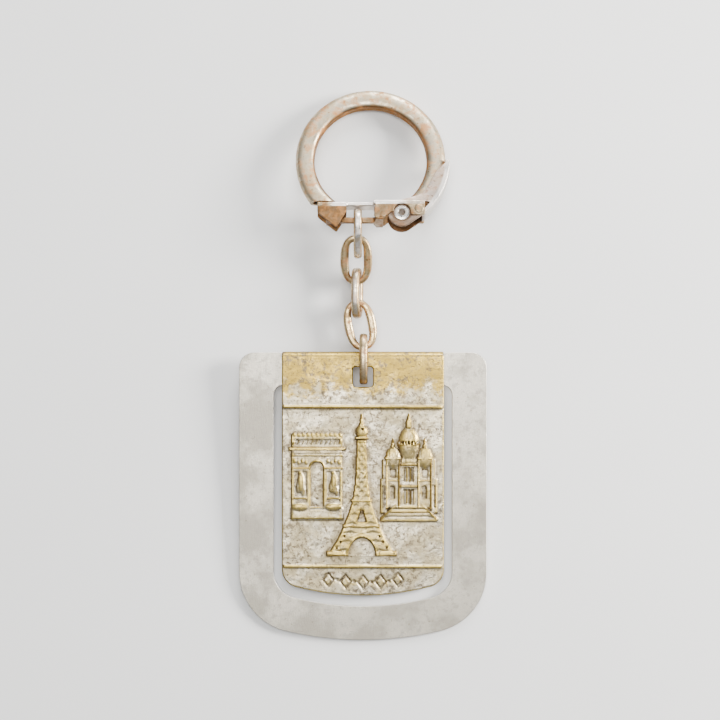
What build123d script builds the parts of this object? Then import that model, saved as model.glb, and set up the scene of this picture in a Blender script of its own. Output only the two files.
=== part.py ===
from build123d import *
import os
from math import cos, radians, sin, sqrt

# Souvenir keychain lying on a table: X to the right, Y along the length towards the key ring, Z up.
# The origin is under the middle of the whole keychain, on the table. All sizes are in millimetres.

# ---- plate: a steel spring frame with a folded brass plaque on its top band ----
FRAME_BOTTOM_Y = -46.05       # table position of the frame's lowest edge
PLATE_TILT = 3.2              # the last chain link props the top of the plate up
FRAME_LENGTH = 48.0
FRAME_HALF_WIDTH = 20.65
FRAME_SHEET = 0.6
FRAME_BOTTOM_RADIUS = 57.3
FRAME_BOTTOM_CORNER = 10.1
FRAME_TOP_CORNER = 2.5

WINDOW_HALF_WIDTH = 14.86
WINDOW_BOTTOM = 5.7
WINDOW_TOP = 42.5
WINDOW_BOTTOM_RADIUS = 46.8
WINDOW_BOTTOM_CORNER = 4.4
WINDOW_TOP_CORNER = 1.7

FLEX_LINE = 40.6              # height on the frame where its legs bend
FLEX_GAP = 0.06

PLAQUE_HALF_WIDTH = 13.48
PLAQUE_BOTTOM = 7.5
PLAQUE_BOTTOM_RADIUS = 44.3
PLAQUE_CORNER = 3.0
BRASS_SHEET = 0.7
FOLD_CENTRE = 47.1            # centre of the fold that wraps the band's top edge
BACK_LEAF_BOTTOM = 39.6
FOLD_CLEARANCE = 0.12         # between the fold's ends and the notch in the band

HOLE_SIZE = 3.38
HOLE_CENTRE = 43.88
HOLE_CORNER = 0.5

LINE_HALF_LENGTH = 13.0
LINE_WIDTH = 0.6
LINE_HEIGHT = 0.3
LINE_HEIGHTS_ON_PLAQUE = (12.4, 38.95)
RELIEF_HEIGHT = 0.45

# relief on the plaque, in the plate's plane: an arch, a tower and a domed church
ARCH_MIDDLE = -7.6
ARCH_FOOT = 20.1
ARCH_WIDTH = 8.7
ARCH_HEIGHT = 14.2
DOORWAY_FOOT = 21.9
DOORWAY_WIDTH = 2.1
DOORWAY_HEIGHT = 7.9
TOWER_FOOT = 14.2
TOWER_SIDE = ((5.7, 14.2), (3.9, 17.0), (3.0, 19.1), (1.5, 23.3), (0.75, 33.4), (0.75, 35.4), (0.15, 37.6))
TOWER_ARCH_WIDTH = 4.9
TOWER_ARCH_HEIGHT = 3.4
TOWER_PLATFORMS = ((18.8, 6.1), (23.1, 3.4))      # foot and width
PLATFORM_THICKNESS = 0.5
CHURCH_MIDDLE = 7.65
CHURCH_BLOCKS = (             # foot, width and height
    (19.9, 9.4, 1.4), (21.3, 9.2, 5.7), (27.0, 8.6, 3.3), (30.3, 3.0, 2.5), (34.2, 0.8, 3.3),
)
CHURCH_DOMES = ((0, 32.7, 1.75), (-2.65, 30.35, 1.28), (2.65, 30.35, 1.28))      # offset, height, radius

# ---- chain: five punched oval links ----
LINK_LENGTH = 8.5
LINK_WIDTH = 5.4
LINK_THICKNESS = 1.4
LINK_OPENING_LENGTH = 6.0
LINK_OPENING_WIDTH = 2.4
LINK_OPENING_CORNER = 0.9
LINK_EDGE_RADIUS = 0.42
LINK_END_RADIUS = 2.6

# places of the links, counted from the key ring: angles are a rise from the table, a roll about the
# link's length and a turn to the left
LINK_1_CENTRE = (-0.85, 21.46, 5.42)
LINK_2_CENTRE = (-1.1, 17.285, 3.85)
LINK_3_CENTRE = (-0.95, 11.75, 2.8)
LINK_4_CENTRE = (-0.45, 6.4, 2.9)
LINK_5_ON_PLATE = (0.1, 46.9)
LINK_1_RISE = 26.0
LINK_2_RISE = 16.0
LINK_3_ROLL = 9.0
LINK_4_TURN = 11.0

# ---- key ring with its hinged catch ----
RING_CENTRE = (1.28, 33.75, 3.8)
RING_TILT = 13.0              # the first chain link props the catch side up
RING_RADIUS = 10.9            # of the tube's centre line
TUBE_HALF_RADIAL = 1.6
TUBE_HALF_DEPTH = 1.3
TUBE_WALL = 0.45
RING_RIGHT_END = -61.7        # angle of the eyelet on the ring
RING_LEFT_END = 229.0
RING_LEFT_CUT = -7.4          # the open left end is cut level with the catch bar

EYELET_BARREL = 0.85
EYELET_HOLE = 0.55
EYELET_FLANGE = 1.3
EYELET_FLANGE_THICKNESS = 0.15
EYELET_RUNNING_CLEARANCE = 0.05

LEVER_INSIDE = 1.35
LEVER_SHEET = 0.4
LEVER_SPINE_RADIUS = 13.3
LEVER_SPINE_SHEET = 0.45
LEVER_TOP_ANGLE = -1.0
LEVER_FOOT_ANGLE = -50.0
LEVER_EAR_RADIUS = 2.35
LEVER_EAR_FOOT_ANGLE = -60.0  # where the cheek's lower edge leaves the ear
LEVER_INNER_EDGE = ((12.1, -1.1), (10.75, -2.6), (9.8, -4.4), (8.6, -6.1), (6.9, -6.9), (5.17, -7.4))
LEVER_WINDOW = ((8.75, -7.6), (8.75, -9.3), (9.1, -9.2), (10.15, -7.75))
TOOLING_HOLE = (10.9, -7.0)
TOOLING_HOLE_RADIUS = 0.28

RIVET_POINT = (8.0, -9.1)
RIVET_RADIUS = 0.5
RIVET_HEAD_RADIUS = 0.75
RIVET_HEAD_THICKNESS = 0.15
RIVET_CLEARANCE = 0.05

GATE_LEFT = -8.83
GATE_RIGHT = 2.1
GATE_UPPER_TOP = -7.6
GATE_UPPER_BOTTOM = -8.25
GATE_HALF_DEPTH = 1.4
GATE_LOWER_TOP = -10.0
GATE_LOWER_BOTTOM = -10.7
GATE_LOWER_HALF_DEPTH = 0.45
GATE_LOWER_LEFT = -7.4
GATE_LOWER_WIDE_TO = -5.0     # left of this the lower run is as deep as the upper one
GATE_LIP_LEFT = -8.75
GATE_LIP_RIGHT = -8.2
GATE_LIP_TOP = -6.7
GATE_LIP_HALF_DEPTH = 0.45
POINT_CHEEK_SHEET = 0.4
POINT_CHEEK_RIGHT = -4.0
POINT_SHOULDERS = (-9.3, -9.46)   # height of the right and the left one
POINT_TIP = (-5.67, -12.15)
POINT_TIP_RADIUS = 0.4
FORK_INSIDE = 2.05
FORK_SHEET = 0.35
FORK_LEFT = 0.5
FORK_RIGHT = 8.95
FORK_ARCH_RADIUS = 1.42
FORK_WEB_INSET = 0.4          # the lower web stands this far in from the fork's left edge
FORK_EAR_BOTTOM = -10.2       # the fork's sides are deepest beside the lever
FORK_NECK = ((7.0, -10.2), (6.5, -9.6), (3.75, -9.6))

os.makedirs("parts", exist_ok=True)

tilt = radians(PLATE_TILT)
plate_plane = Plane(
    origin=(0, FRAME_BOTTOM_Y, 0), x_dir=(1, 0, 0), z_dir=(0, -sin(tilt), cos(tilt)),
)
ring_tilt = radians(RING_TILT)
ring_normal = Vector(0, sin(ring_tilt), cos(ring_tilt))
ring_plane = Plane(origin=RING_CENTRE, x_dir=(1, 0, 0), z_dir=ring_normal)


def arc_height(radius, half_width):
    """Rise of an arched bottom edge at half_width from the middle."""
    return radius - sqrt(radius**2 - half_width**2)


def add_shield(half_width, bottom, bottom_radius, top):
    """Adds a panel with straight sides, a flat top and an arched bottom edge to the open sketch."""
    side_foot = bottom + arc_height(bottom_radius, half_width)
    with BuildLine() as outline:
        ThreePointArc((-half_width, side_foot), (0, bottom), (half_width, side_foot))
        Polyline((half_width, side_foot), (half_width, top), (-half_width, top), (-half_width, side_foot))
    make_face(outline.edges())


def round_corners(sketch, foot_radius, head_radius):
    """Rounds the two lower and the two upper corners of the panel in an open sketch."""
    fillet(sketch.vertices().group_by(Axis.Y)[0], foot_radius)
    fillet(sketch.vertices().group_by(Axis.Y)[-1], head_radius)


# The steel sheet's whole outline, with its window, is one sketch. Both of its nodes come from it.
with BuildSketch(plate_plane) as window:
    add_shield(WINDOW_HALF_WIDTH, WINDOW_BOTTOM, WINDOW_BOTTOM_RADIUS, WINDOW_TOP)
    round_corners(window, WINDOW_BOTTOM_CORNER, WINDOW_TOP_CORNER)

with BuildSketch(plate_plane) as sheet:
    add_shield(FRAME_HALF_WIDTH, 0, FRAME_BOTTOM_RADIUS, FRAME_LENGTH)
    round_corners(sheet, FRAME_BOTTOM_CORNER, FRAME_TOP_CORNER)
    add(window.sketch_local, mode=Mode.SUBTRACT)

notch_half_width = PLAQUE_HALF_WIDTH + FOLD_CLEARANCE
notch_depth = FRAME_LENGTH - FOLD_CENTRE
cutter_size = (2 * FRAME_HALF_WIDTH + 2, 2 * FRAME_LENGTH)

with BuildPart() as frame_band:
    with BuildSketch(plate_plane):
        add(sheet.sketch_local)
        with Locations((0, FLEX_LINE)):
            Rectangle(*cutter_size, align=(Align.CENTER, Align.MAX), mode=Mode.SUBTRACT)
        with Locations((0, FRAME_LENGTH)):
            Rectangle(2 * notch_half_width, 2 * notch_depth, mode=Mode.SUBTRACT)
        with Locations((0, HOLE_CENTRE)):
            Rectangle(HOLE_SIZE, HOLE_SIZE, mode=Mode.SUBTRACT)
    extrude(amount=FRAME_SHEET)
frame_band.part.label = "frame_band"
export_step(frame_band.part, "parts/frame_band.step")

with BuildPart() as frame_loop:
    with BuildSketch(plate_plane):
        add(sheet.sketch_local)
        with Locations((0, FLEX_LINE - FLEX_GAP)):
            Rectangle(*cutter_size, align=(Align.CENTER, Align.MIN), mode=Mode.SUBTRACT)
    extrude(amount=FRAME_SHEET)
frame_loop.part.label = "frame_loop"
export_step(frame_loop.part, "parts/frame_loop.step")

# The plaque: a front leaf, a fold over the band's top edge and a short back leaf, with a square hole
# through all layers for the last chain link.
front_plane = plate_plane.offset(FRAME_SHEET)
relief_plane = plate_plane.offset(FRAME_SHEET + BRASS_SHEET)
fold_outer = FRAME_SHEET / 2 + BRASS_SHEET
fold_plane = Plane(
    origin=plate_plane.from_local_coords((-PLAQUE_HALF_WIDTH, 0, 0)),
    x_dir=plate_plane.y_dir,
    z_dir=plate_plane.x_dir,
)


def add_arched_opening(centre, foot, width, height):
    """Cuts a round-headed doorway whose foot is at the given height."""
    with Locations((centre, foot + (height - width / 2) / 2)):
        Rectangle(width, height - width / 2, mode=Mode.SUBTRACT)
    with Locations((centre, foot + height - width / 2)):
        Circle(width / 2, mode=Mode.SUBTRACT)


def add_block(centre, foot, width, height):
    """Adds an upright rectangle that stands at the given height."""
    with Locations((centre, foot)):
        Rectangle(width, height, align=(Align.CENTER, Align.MIN))


def add_outline(points):
    """Adds the face inside a closed row of points to the open sketch."""
    with BuildLine() as outline:
        Polyline(*points, points[0])
    make_face(outline.edges())


tower_outline = TOWER_SIDE + tuple((-half_width, height) for half_width, height in reversed(TOWER_SIDE))

with BuildPart() as plaque:
    with BuildSketch(front_plane) as front_leaf:
        add_shield(PLAQUE_HALF_WIDTH, PLAQUE_BOTTOM, PLAQUE_BOTTOM_RADIUS, FOLD_CENTRE)
        fillet(front_leaf.vertices().group_by(Axis.Y)[0], PLAQUE_CORNER)
    extrude(amount=BRASS_SHEET)
    with BuildSketch(plate_plane):
        with Locations((0, BACK_LEAF_BOTTOM)):
            Rectangle(2 * PLAQUE_HALF_WIDTH, FOLD_CENTRE - BACK_LEAF_BOTTOM, align=(Align.CENTER, Align.MIN))
    extrude(amount=-BRASS_SHEET)
    with BuildSketch(fold_plane):
        with Locations((FOLD_CENTRE, FRAME_SHEET / 2)):
            Circle(fold_outer)
            Circle(FRAME_SHEET / 2, mode=Mode.SUBTRACT)
            Rectangle(2 * fold_outer, 2 * fold_outer, align=(Align.MAX, Align.CENTER), mode=Mode.SUBTRACT)
    extrude(amount=2 * PLAQUE_HALF_WIDTH)
    # raised border lines
    with BuildSketch(relief_plane):
        for height in LINE_HEIGHTS_ON_PLAQUE:
            with Locations((0, height)):
                Rectangle(2 * LINE_HALF_LENGTH, LINE_WIDTH)
    extrude(amount=LINE_HEIGHT)
    # triumphal arch
    with BuildSketch(relief_plane):
        add_block(ARCH_MIDDLE, ARCH_FOOT, ARCH_WIDTH, ARCH_HEIGHT)
        add_arched_opening(ARCH_MIDDLE, DOORWAY_FOOT, DOORWAY_WIDTH, DOORWAY_HEIGHT)
    extrude(amount=RELIEF_HEIGHT)
    # lattice tower: splayed legs round an arched opening, two platforms and a slim shaft
    with BuildSketch(relief_plane):
        add_outline(tower_outline)
        for foot, width in TOWER_PLATFORMS:
            add_block(0, foot, width, PLATFORM_THICKNESS)
        add_arched_opening(0, TOWER_FOOT, TOWER_ARCH_WIDTH, TOWER_ARCH_HEIGHT)
    extrude(amount=RELIEF_HEIGHT)
    # domed church
    with BuildSketch(relief_plane):
        for foot, width, height in CHURCH_BLOCKS:
            add_block(CHURCH_MIDDLE, foot, width, height)
        for offset, height, radius in CHURCH_DOMES:
            with Locations((CHURCH_MIDDLE + offset, height)):
                Circle(radius)
    extrude(amount=RELIEF_HEIGHT)
    with BuildSketch(plate_plane.offset(-BRASS_SHEET - 1)):
        with Locations((0, HOLE_CENTRE)):
            RectangleRounded(HOLE_SIZE, HOLE_SIZE, HOLE_CORNER)
    extrude(amount=2 * BRASS_SHEET + FRAME_SHEET + 2, mode=Mode.SUBTRACT)
plaque.part.label = "plaque"
export_step(plaque.part, "parts/plaque.step")


# Chain links, counted from the key ring. Each has the place of its centre, the direction of its long
# axis and the direction that its flat side faces. Neighbours stand crosswise.
def direction(turn, rise):
    """Unit vector at turn degrees left of +Y, raised by rise degrees."""
    level = cos(radians(rise))
    return Vector(-sin(radians(turn)) * level, cos(radians(turn)) * level, sin(radians(rise)))


across_link_2 = direction(180, 90 - LINK_2_RISE)
link_5_centre = plate_plane.from_local_coords((*LINK_5_ON_PLATE, FRAME_SHEET / 2))
link_places = (
    ("chain_link_1", Vector(LINK_1_CENTRE), direction(0, LINK_1_RISE), Vector(1, 0, 0)),
    ("chain_link_2", Vector(LINK_2_CENTRE), direction(0, LINK_2_RISE), across_link_2),
    ("chain_link_3", Vector(LINK_3_CENTRE), Vector(0, 1, 0), direction(-90, LINK_3_ROLL)),
    ("chain_link_4", Vector(LINK_4_CENTRE), direction(LINK_4_TURN, 0), Vector(0, 0, 1)),
    ("chain_link_5", link_5_centre, direction(0, PLATE_TILT), Vector(1, 0, 0)),
)
for name, centre, long_axis, facing in link_places:
    link_plane = Plane(origin=centre, x_dir=long_axis.cross(facing), z_dir=facing)
    with BuildPart() as link:
        with BuildSketch(link_plane):
            RectangleRounded(LINK_WIDTH, LINK_LENGTH, LINK_END_RADIUS)
            RectangleRounded(LINK_OPENING_WIDTH, LINK_OPENING_LENGTH, LINK_OPENING_CORNER, mode=Mode.SUBTRACT)
        extrude(amount=LINK_THICKNESS / 2, both=True)
        fillet(link.edges(), LINK_EDGE_RADIUS)
    link.part.label = name
    export_step(link.part, f"parts/{name}.step")


# Key ring: a rolled tube bent round, open at the catch on the left, with a solid flattened eye on the
# right where it turns on the eyelet.
def ring_point(angle, radius=RING_RADIUS):
    """Point of the ring plane at this angle and radius from the ring's centre."""
    return (radius * cos(radians(angle)), radius * sin(radians(angle)))


eyelet_point = ring_point(RING_RIGHT_END)
tube_start = ring_plane.from_local_coords((*eyelet_point, 0))
tube_plane = Plane(
    origin=tube_start, x_dir=(tube_start - ring_plane.origin).normalized(),
    z_dir=(tube_start - ring_plane.origin).cross(ring_normal).normalized(),
)
ring_axis = Axis(ring_plane.origin, ring_normal)
eyelet_end = LEVER_INSIDE + LEVER_SHEET
boss_bottom = ring_plane.offset(-TUBE_HALF_DEPTH)

with BuildPart() as ring_bow:
    with BuildSketch(tube_plane):
        Ellipse(TUBE_HALF_RADIAL, TUBE_HALF_DEPTH)
        Ellipse(TUBE_HALF_RADIAL - TUBE_WALL, TUBE_HALF_DEPTH - TUBE_WALL, mode=Mode.SUBTRACT)
    revolve(axis=ring_axis, revolution_arc=RING_LEFT_END - RING_RIGHT_END)
    with BuildSketch(boss_bottom):
        with Locations((-RING_RADIUS, RING_LEFT_CUT)):
            Rectangle(2 * RING_RADIUS, 2 * RING_RADIUS, align=(Align.CENTER, Align.MAX))
    extrude(amount=2 * TUBE_HALF_DEPTH, mode=Mode.SUBTRACT)
    with BuildSketch(boss_bottom):
        with Locations(eyelet_point):
            Circle(TUBE_HALF_RADIAL)
    extrude(amount=2 * TUBE_HALF_DEPTH)
    with BuildSketch(boss_bottom):
        with Locations(eyelet_point):
            Circle(EYELET_BARREL + EYELET_RUNNING_CLEARANCE)
    extrude(amount=2 * TUBE_HALF_DEPTH, mode=Mode.SUBTRACT)
ring_bow.part.label = "ring_bow"
export_step(ring_bow.part, "parts/ring_bow.step")

with BuildPart() as hinge_eyelet:
    with BuildSketch(ring_plane.offset(-eyelet_end)):
        with Locations(eyelet_point):
            Circle(EYELET_BARREL)
    extrude(amount=2 * eyelet_end)
    for level in (-eyelet_end - EYELET_FLANGE_THICKNESS, eyelet_end):
        with BuildSketch(ring_plane.offset(level)):
            with Locations(eyelet_point):
                Circle(EYELET_FLANGE)
        extrude(amount=EYELET_FLANGE_THICKNESS)
    with BuildSketch(ring_plane.offset(-eyelet_end - 1)):
        with Locations(eyelet_point):
            Circle(EYELET_HOLE)
    extrude(amount=2 * eyelet_end + 2, mode=Mode.SUBTRACT)
hinge_eyelet.part.label = "hinge_eyelet"
export_step(hinge_eyelet.part, "parts/hinge_eyelet.step")

# Lever: a folded channel that hugs the outside of the ring's right side, with ears on the eyelet.
cheek_levels = (LEVER_INSIDE, -LEVER_INSIDE - LEVER_SHEET)
lever_span = LEVER_TOP_ANGLE - LEVER_FOOT_ANGLE
spine_inner_radius = LEVER_SPINE_RADIUS - LEVER_SPINE_SHEET
spine_top = ring_point(LEVER_TOP_ANGLE, LEVER_SPINE_RADIUS)
spine_foot = ring_point(LEVER_FOOT_ANGLE, LEVER_SPINE_RADIUS)
ear_reach = ring_point(LEVER_EAR_FOOT_ANGLE, LEVER_EAR_RADIUS)
ear_foot = (eyelet_point[0] + ear_reach[0], eyelet_point[1] + ear_reach[1])
with BuildPart() as lever:
    for level in cheek_levels:
        with BuildSketch(ring_plane.offset(level)):
            with BuildLine():
                CenterArc((0, 0), LEVER_SPINE_RADIUS, LEVER_FOOT_ANGLE, lever_span)
                inner_edge = Spline(ring_point(LEVER_TOP_ANGLE, spine_inner_radius), *LEVER_INNER_EDGE)
                Line(spine_top, inner_edge @ 0)
                Polyline(inner_edge @ 1, eyelet_point, ear_foot, spine_foot)
            make_face()
            with Locations(eyelet_point):
                Circle(LEVER_EAR_RADIUS)
                Circle(EYELET_BARREL, mode=Mode.SUBTRACT)
            with Locations(RIVET_POINT):
                Circle(RIVET_RADIUS, mode=Mode.SUBTRACT)
        extrude(amount=LEVER_SHEET)
    with BuildSketch(ring_plane.offset(-eyelet_end)):
        with BuildLine():
            CenterArc((0, 0), LEVER_SPINE_RADIUS, LEVER_FOOT_ANGLE, lever_span)
            CenterArc((0, 0), spine_inner_radius, LEVER_FOOT_ANGLE, lever_span)
            for angle in (LEVER_FOOT_ANGLE, LEVER_TOP_ANGLE):
                Line(ring_point(angle, spine_inner_radius), ring_point(angle, LEVER_SPINE_RADIUS))
        make_face()
    extrude(amount=2 * eyelet_end)
    # the front cheek's window, which shows the catch bar's end, and a small tooling hole
    with BuildSketch(ring_plane.offset(LEVER_INSIDE)):
        add_outline(LEVER_WINDOW)
        with Locations(TOOLING_HOLE):
            Circle(TOOLING_HOLE_RADIUS)
    extrude(amount=LEVER_SHEET, mode=Mode.SUBTRACT)
lever.part.label = "lever"
export_step(lever.part, "parts/lever.step")

with BuildPart() as gate_rivets:
    for side in (1, -1):
        with BuildSketch(ring_plane.offset(side * LEVER_INSIDE)):
            with Locations(RIVET_POINT):
                Circle(RIVET_RADIUS)
        extrude(amount=side * (FORK_INSIDE + FORK_SHEET - LEVER_INSIDE))
        with BuildSketch(ring_plane.offset(side * (FORK_INSIDE + FORK_SHEET))):
            with Locations(RIVET_POINT):
                Circle(RIVET_HEAD_RADIUS)
        extrude(amount=side * RIVET_HEAD_THICKNESS)
gate_rivets.part.label = "gate_rivets"
export_step(gate_rivets.part, "parts/gate_rivets.step")


# Gate bar: one folded sheet. Its upper run closes the ring, its lower run carries the chain, its left
# cheeks come to a point and its fork reaches over the lever to the rivets.
def add_bar(left, right, bottom, top, half_depth):
    """Adds a straight run of the gate, centred in depth."""
    with BuildSketch(ring_plane.offset(-half_depth)) as run:
        with Locations(((left + right) / 2, (bottom + top) / 2)):
            Rectangle(right - left, top - bottom)
    extrude(run.sketch, amount=2 * half_depth)


fork_outside = FORK_INSIDE + FORK_SHEET
right_shoulder, left_shoulder = POINT_SHOULDERS
point_outline = (
    (GATE_LEFT, GATE_UPPER_TOP), (POINT_CHEEK_RIGHT, GATE_UPPER_TOP), (POINT_CHEEK_RIGHT, right_shoulder),
    POINT_TIP, (GATE_LEFT, left_shoulder),
)
fork_outline = (
    (FORK_LEFT, GATE_UPPER_TOP), (FORK_RIGHT, GATE_UPPER_TOP), (FORK_RIGHT, FORK_EAR_BOTTOM), *FORK_NECK,
    (GATE_RIGHT, GATE_LOWER_BOTTOM), (FORK_LEFT, GATE_LOWER_BOTTOM),
)
with BuildPart() as gate_bar:
    add_bar(GATE_LEFT, GATE_RIGHT, GATE_UPPER_BOTTOM, GATE_UPPER_TOP, GATE_HALF_DEPTH)
    add_bar(GATE_LIP_LEFT, GATE_LIP_RIGHT, GATE_UPPER_TOP, GATE_LIP_TOP, GATE_LIP_HALF_DEPTH)
    add_bar(GATE_LOWER_LEFT, GATE_RIGHT, GATE_LOWER_BOTTOM, GATE_LOWER_TOP, GATE_LOWER_HALF_DEPTH)
    add_bar(GATE_LOWER_LEFT, GATE_LOWER_WIDE_TO, GATE_LOWER_BOTTOM, GATE_LOWER_TOP, GATE_HALF_DEPTH)
    add_bar(FORK_LEFT, GATE_RIGHT, GATE_UPPER_BOTTOM, GATE_UPPER_TOP, fork_outside)
    add_bar(FORK_LEFT + FORK_WEB_INSET, GATE_RIGHT, GATE_LOWER_BOTTOM, GATE_LOWER_TOP, fork_outside)
    for level in (GATE_HALF_DEPTH - POINT_CHEEK_SHEET, -GATE_HALF_DEPTH):
        with BuildSketch(ring_plane.offset(level)) as point_cheek:
            add_outline(point_outline)
            fillet(point_cheek.vertices().group_by(Axis.Y)[0], POINT_TIP_RADIUS)
        extrude(amount=POINT_CHEEK_SHEET)
    for level in (FORK_INSIDE, -fork_outside):
        with BuildSketch(ring_plane.offset(level)):
            add_outline(fork_outline)
            with Locations(eyelet_point):
                Circle(FORK_ARCH_RADIUS, mode=Mode.SUBTRACT)
            with Locations(RIVET_POINT):
                Circle(RIVET_RADIUS + RIVET_CLEARANCE, mode=Mode.SUBTRACT)
        extrude(amount=FORK_SHEET)
gate_bar.part.label = "gate_bar"
export_step(gate_bar.part, "parts/gate_bar.step")
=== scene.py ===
from functools import reduce
from math import atan2, copysign, cos, hypot, pi, radians, sin, sqrt

import bmesh
import bpy
import numpy as np
from mathutils import Matrix, Vector


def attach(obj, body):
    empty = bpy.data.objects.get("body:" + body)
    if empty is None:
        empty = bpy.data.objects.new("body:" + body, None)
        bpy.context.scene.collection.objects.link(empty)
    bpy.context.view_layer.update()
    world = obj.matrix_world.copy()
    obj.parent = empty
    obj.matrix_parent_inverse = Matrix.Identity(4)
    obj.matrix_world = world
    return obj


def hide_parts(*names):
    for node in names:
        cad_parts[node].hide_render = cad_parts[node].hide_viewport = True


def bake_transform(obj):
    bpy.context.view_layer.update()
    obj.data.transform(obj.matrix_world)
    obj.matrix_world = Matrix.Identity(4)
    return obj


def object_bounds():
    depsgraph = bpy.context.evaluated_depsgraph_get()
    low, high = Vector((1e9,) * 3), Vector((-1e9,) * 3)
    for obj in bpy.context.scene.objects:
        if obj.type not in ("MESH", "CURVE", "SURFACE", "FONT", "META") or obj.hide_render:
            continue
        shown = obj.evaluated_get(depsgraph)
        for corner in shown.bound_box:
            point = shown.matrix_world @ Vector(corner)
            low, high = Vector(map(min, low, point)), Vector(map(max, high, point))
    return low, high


# Souvenir keychain on a table. Lengths below are in millimetres unless a name says otherwise; the
# meshes are built in millimetres in a local plane and then placed in the frame in metres.
MM = 0.001
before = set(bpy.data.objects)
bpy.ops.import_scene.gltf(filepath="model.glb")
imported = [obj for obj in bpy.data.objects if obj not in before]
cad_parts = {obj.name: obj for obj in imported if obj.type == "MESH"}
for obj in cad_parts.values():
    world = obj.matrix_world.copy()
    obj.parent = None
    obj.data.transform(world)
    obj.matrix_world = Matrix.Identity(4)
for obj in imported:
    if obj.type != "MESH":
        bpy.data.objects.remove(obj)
cad_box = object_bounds()

# ---- places of the two leaning planes and of the links, as in the CAD ----
FRAME_BOTTOM_Y = -46.05
PLATE_TILT = radians(3.2)
RING_CENTRE = (1.28, 33.75, 3.8)
RING_TILT = radians(13.0)


def plane_matrix(origin, x_axis, z_axis):
    """Matrix from millimetres in a local plane to metres in the frame."""
    x_axis = Vector(x_axis).normalized()
    z_axis = Vector(z_axis).normalized()
    y_axis = z_axis.cross(x_axis)
    turn = Matrix((x_axis, y_axis, z_axis)).transposed().to_4x4()
    return Matrix.Scale(MM, 4) @ Matrix.Translation(Vector(origin)) @ turn


PLATE = plane_matrix((0, FRAME_BOTTOM_Y, 0), (1, 0, 0), (0, -sin(PLATE_TILT), cos(PLATE_TILT)))
RING = plane_matrix(RING_CENTRE, (1, 0, 0), (0, sin(RING_TILT), cos(RING_TILT)))


# ---- mesh helpers ----
def add_object(name, data):
    """Puts a mesh, a light, a camera or a curve into the scene."""
    piece = bpy.data.objects.new(name, data)
    bpy.context.scene.collection.objects.link(piece)
    return piece


def add_smooth(name, mesh, sharp=None, weld=None):
    """Adds a mesh with outward normals, smooth below the sharp angle, its points welded in millimetres."""
    shape = bmesh.new()
    shape.from_mesh(mesh)
    if weld:
        bmesh.ops.remove_doubles(shape, verts=shape.verts, dist=weld * MM)
    bmesh.ops.recalc_face_normals(shape, faces=shape.faces)
    shape.to_mesh(mesh)
    shape.free()
    mesh.polygons.foreach_set("use_smooth", [True] * len(mesh.polygons))
    if sharp:
        mesh.set_sharp_from_angle(angle=radians(sharp))
    return add_object(name, mesh)


def add_mesh(name, points, faces, place, sharp=None, weld=None):
    """Makes a mesh object from local points in millimetres and places it in the frame."""
    mesh = bpy.data.meshes.new(name)
    mesh.from_pydata([tuple(p) for p in points], [], [tuple(f) for f in faces])
    mesh.transform(place)
    return add_smooth(name, mesh, sharp, weld)


def store(piece, name, values):
    """Keeps one number for each point of a piece, for its paint."""
    layer = piece.data.attributes.new(name, "FLOAT", "POINT")
    layer.data.foreach_set("value", np.asarray(values, np.float32))


def join(name, pieces):
    """Joins pieces into one object with this name."""
    for piece in bpy.context.selected_objects:
        piece.select_set(False)
    for piece in pieces:
        piece.select_set(True)
    bpy.context.view_layer.objects.active = pieces[0]
    bpy.ops.object.join()
    pieces[0].name = name
    return pieces[0]


def tube_faces(stations, around, closed, wrapped=True):
    """Quads between point rows, closed along the stations and wrapped around each row if asked."""
    faces = []
    for i in range(stations if closed else stations - 1):
        k = (i + 1) % stations
        for j in range(around if wrapped else around - 1):
            m = (j + 1) % around
            faces.append((i * around + j, k * around + j, k * around + m, i * around + m))
    return faces


def finish_piece(piece, body, nodes, material):
    """Gives a piece its body, the CAD nodes that it stands for and its material."""
    piece.data.materials.clear()
    piece.data.materials.append(material)
    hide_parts(*nodes)
    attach(piece, body)


# ---- smooth noise for shapes ----
def value_noise(x, y, cell, seed):
    """Seeded smooth noise from -1 to 1 over arrays of points, with blobs of this size."""
    size, shift = 128, 50.0
    lattice = np.random.default_rng(seed).uniform(-1, 1, (size, size))
    gx, gy = x / cell + shift, y / cell + shift
    ix, iy = np.floor(gx).astype(int), np.floor(gy).astype(int)
    fx, fy = gx - ix, gy - iy
    fx, fy = fx * fx * (3 - 2 * fx), fy * fy * (3 - 2 * fy)
    a, b, c, d = (lattice[(ix + i) % size, (iy + j) % size] for j in (0, 1) for i in (0, 1))
    return (a * (1 - fx) + b * fx) * (1 - fy) + (c * (1 - fx) + d * fx) * fy


# ---- plaque relief ----
PLAQUE_HALF_WIDTH = 13.48
PLAQUE_BOTTOM = 7.5
PLAQUE_BOTTOM_RADIUS = 44.3
PLAQUE_CORNER = 3.0
SHEET = 0.6
BRASS = 0.7
FRONT = SHEET + BRASS
FOLD_CENTRE = 47.1
BACK_LEAF_BOTTOM = 39.6
HOLE_SIZE, HOLE_CENTRE, HOLE_CORNER = 3.38, 43.88, 0.55


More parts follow.
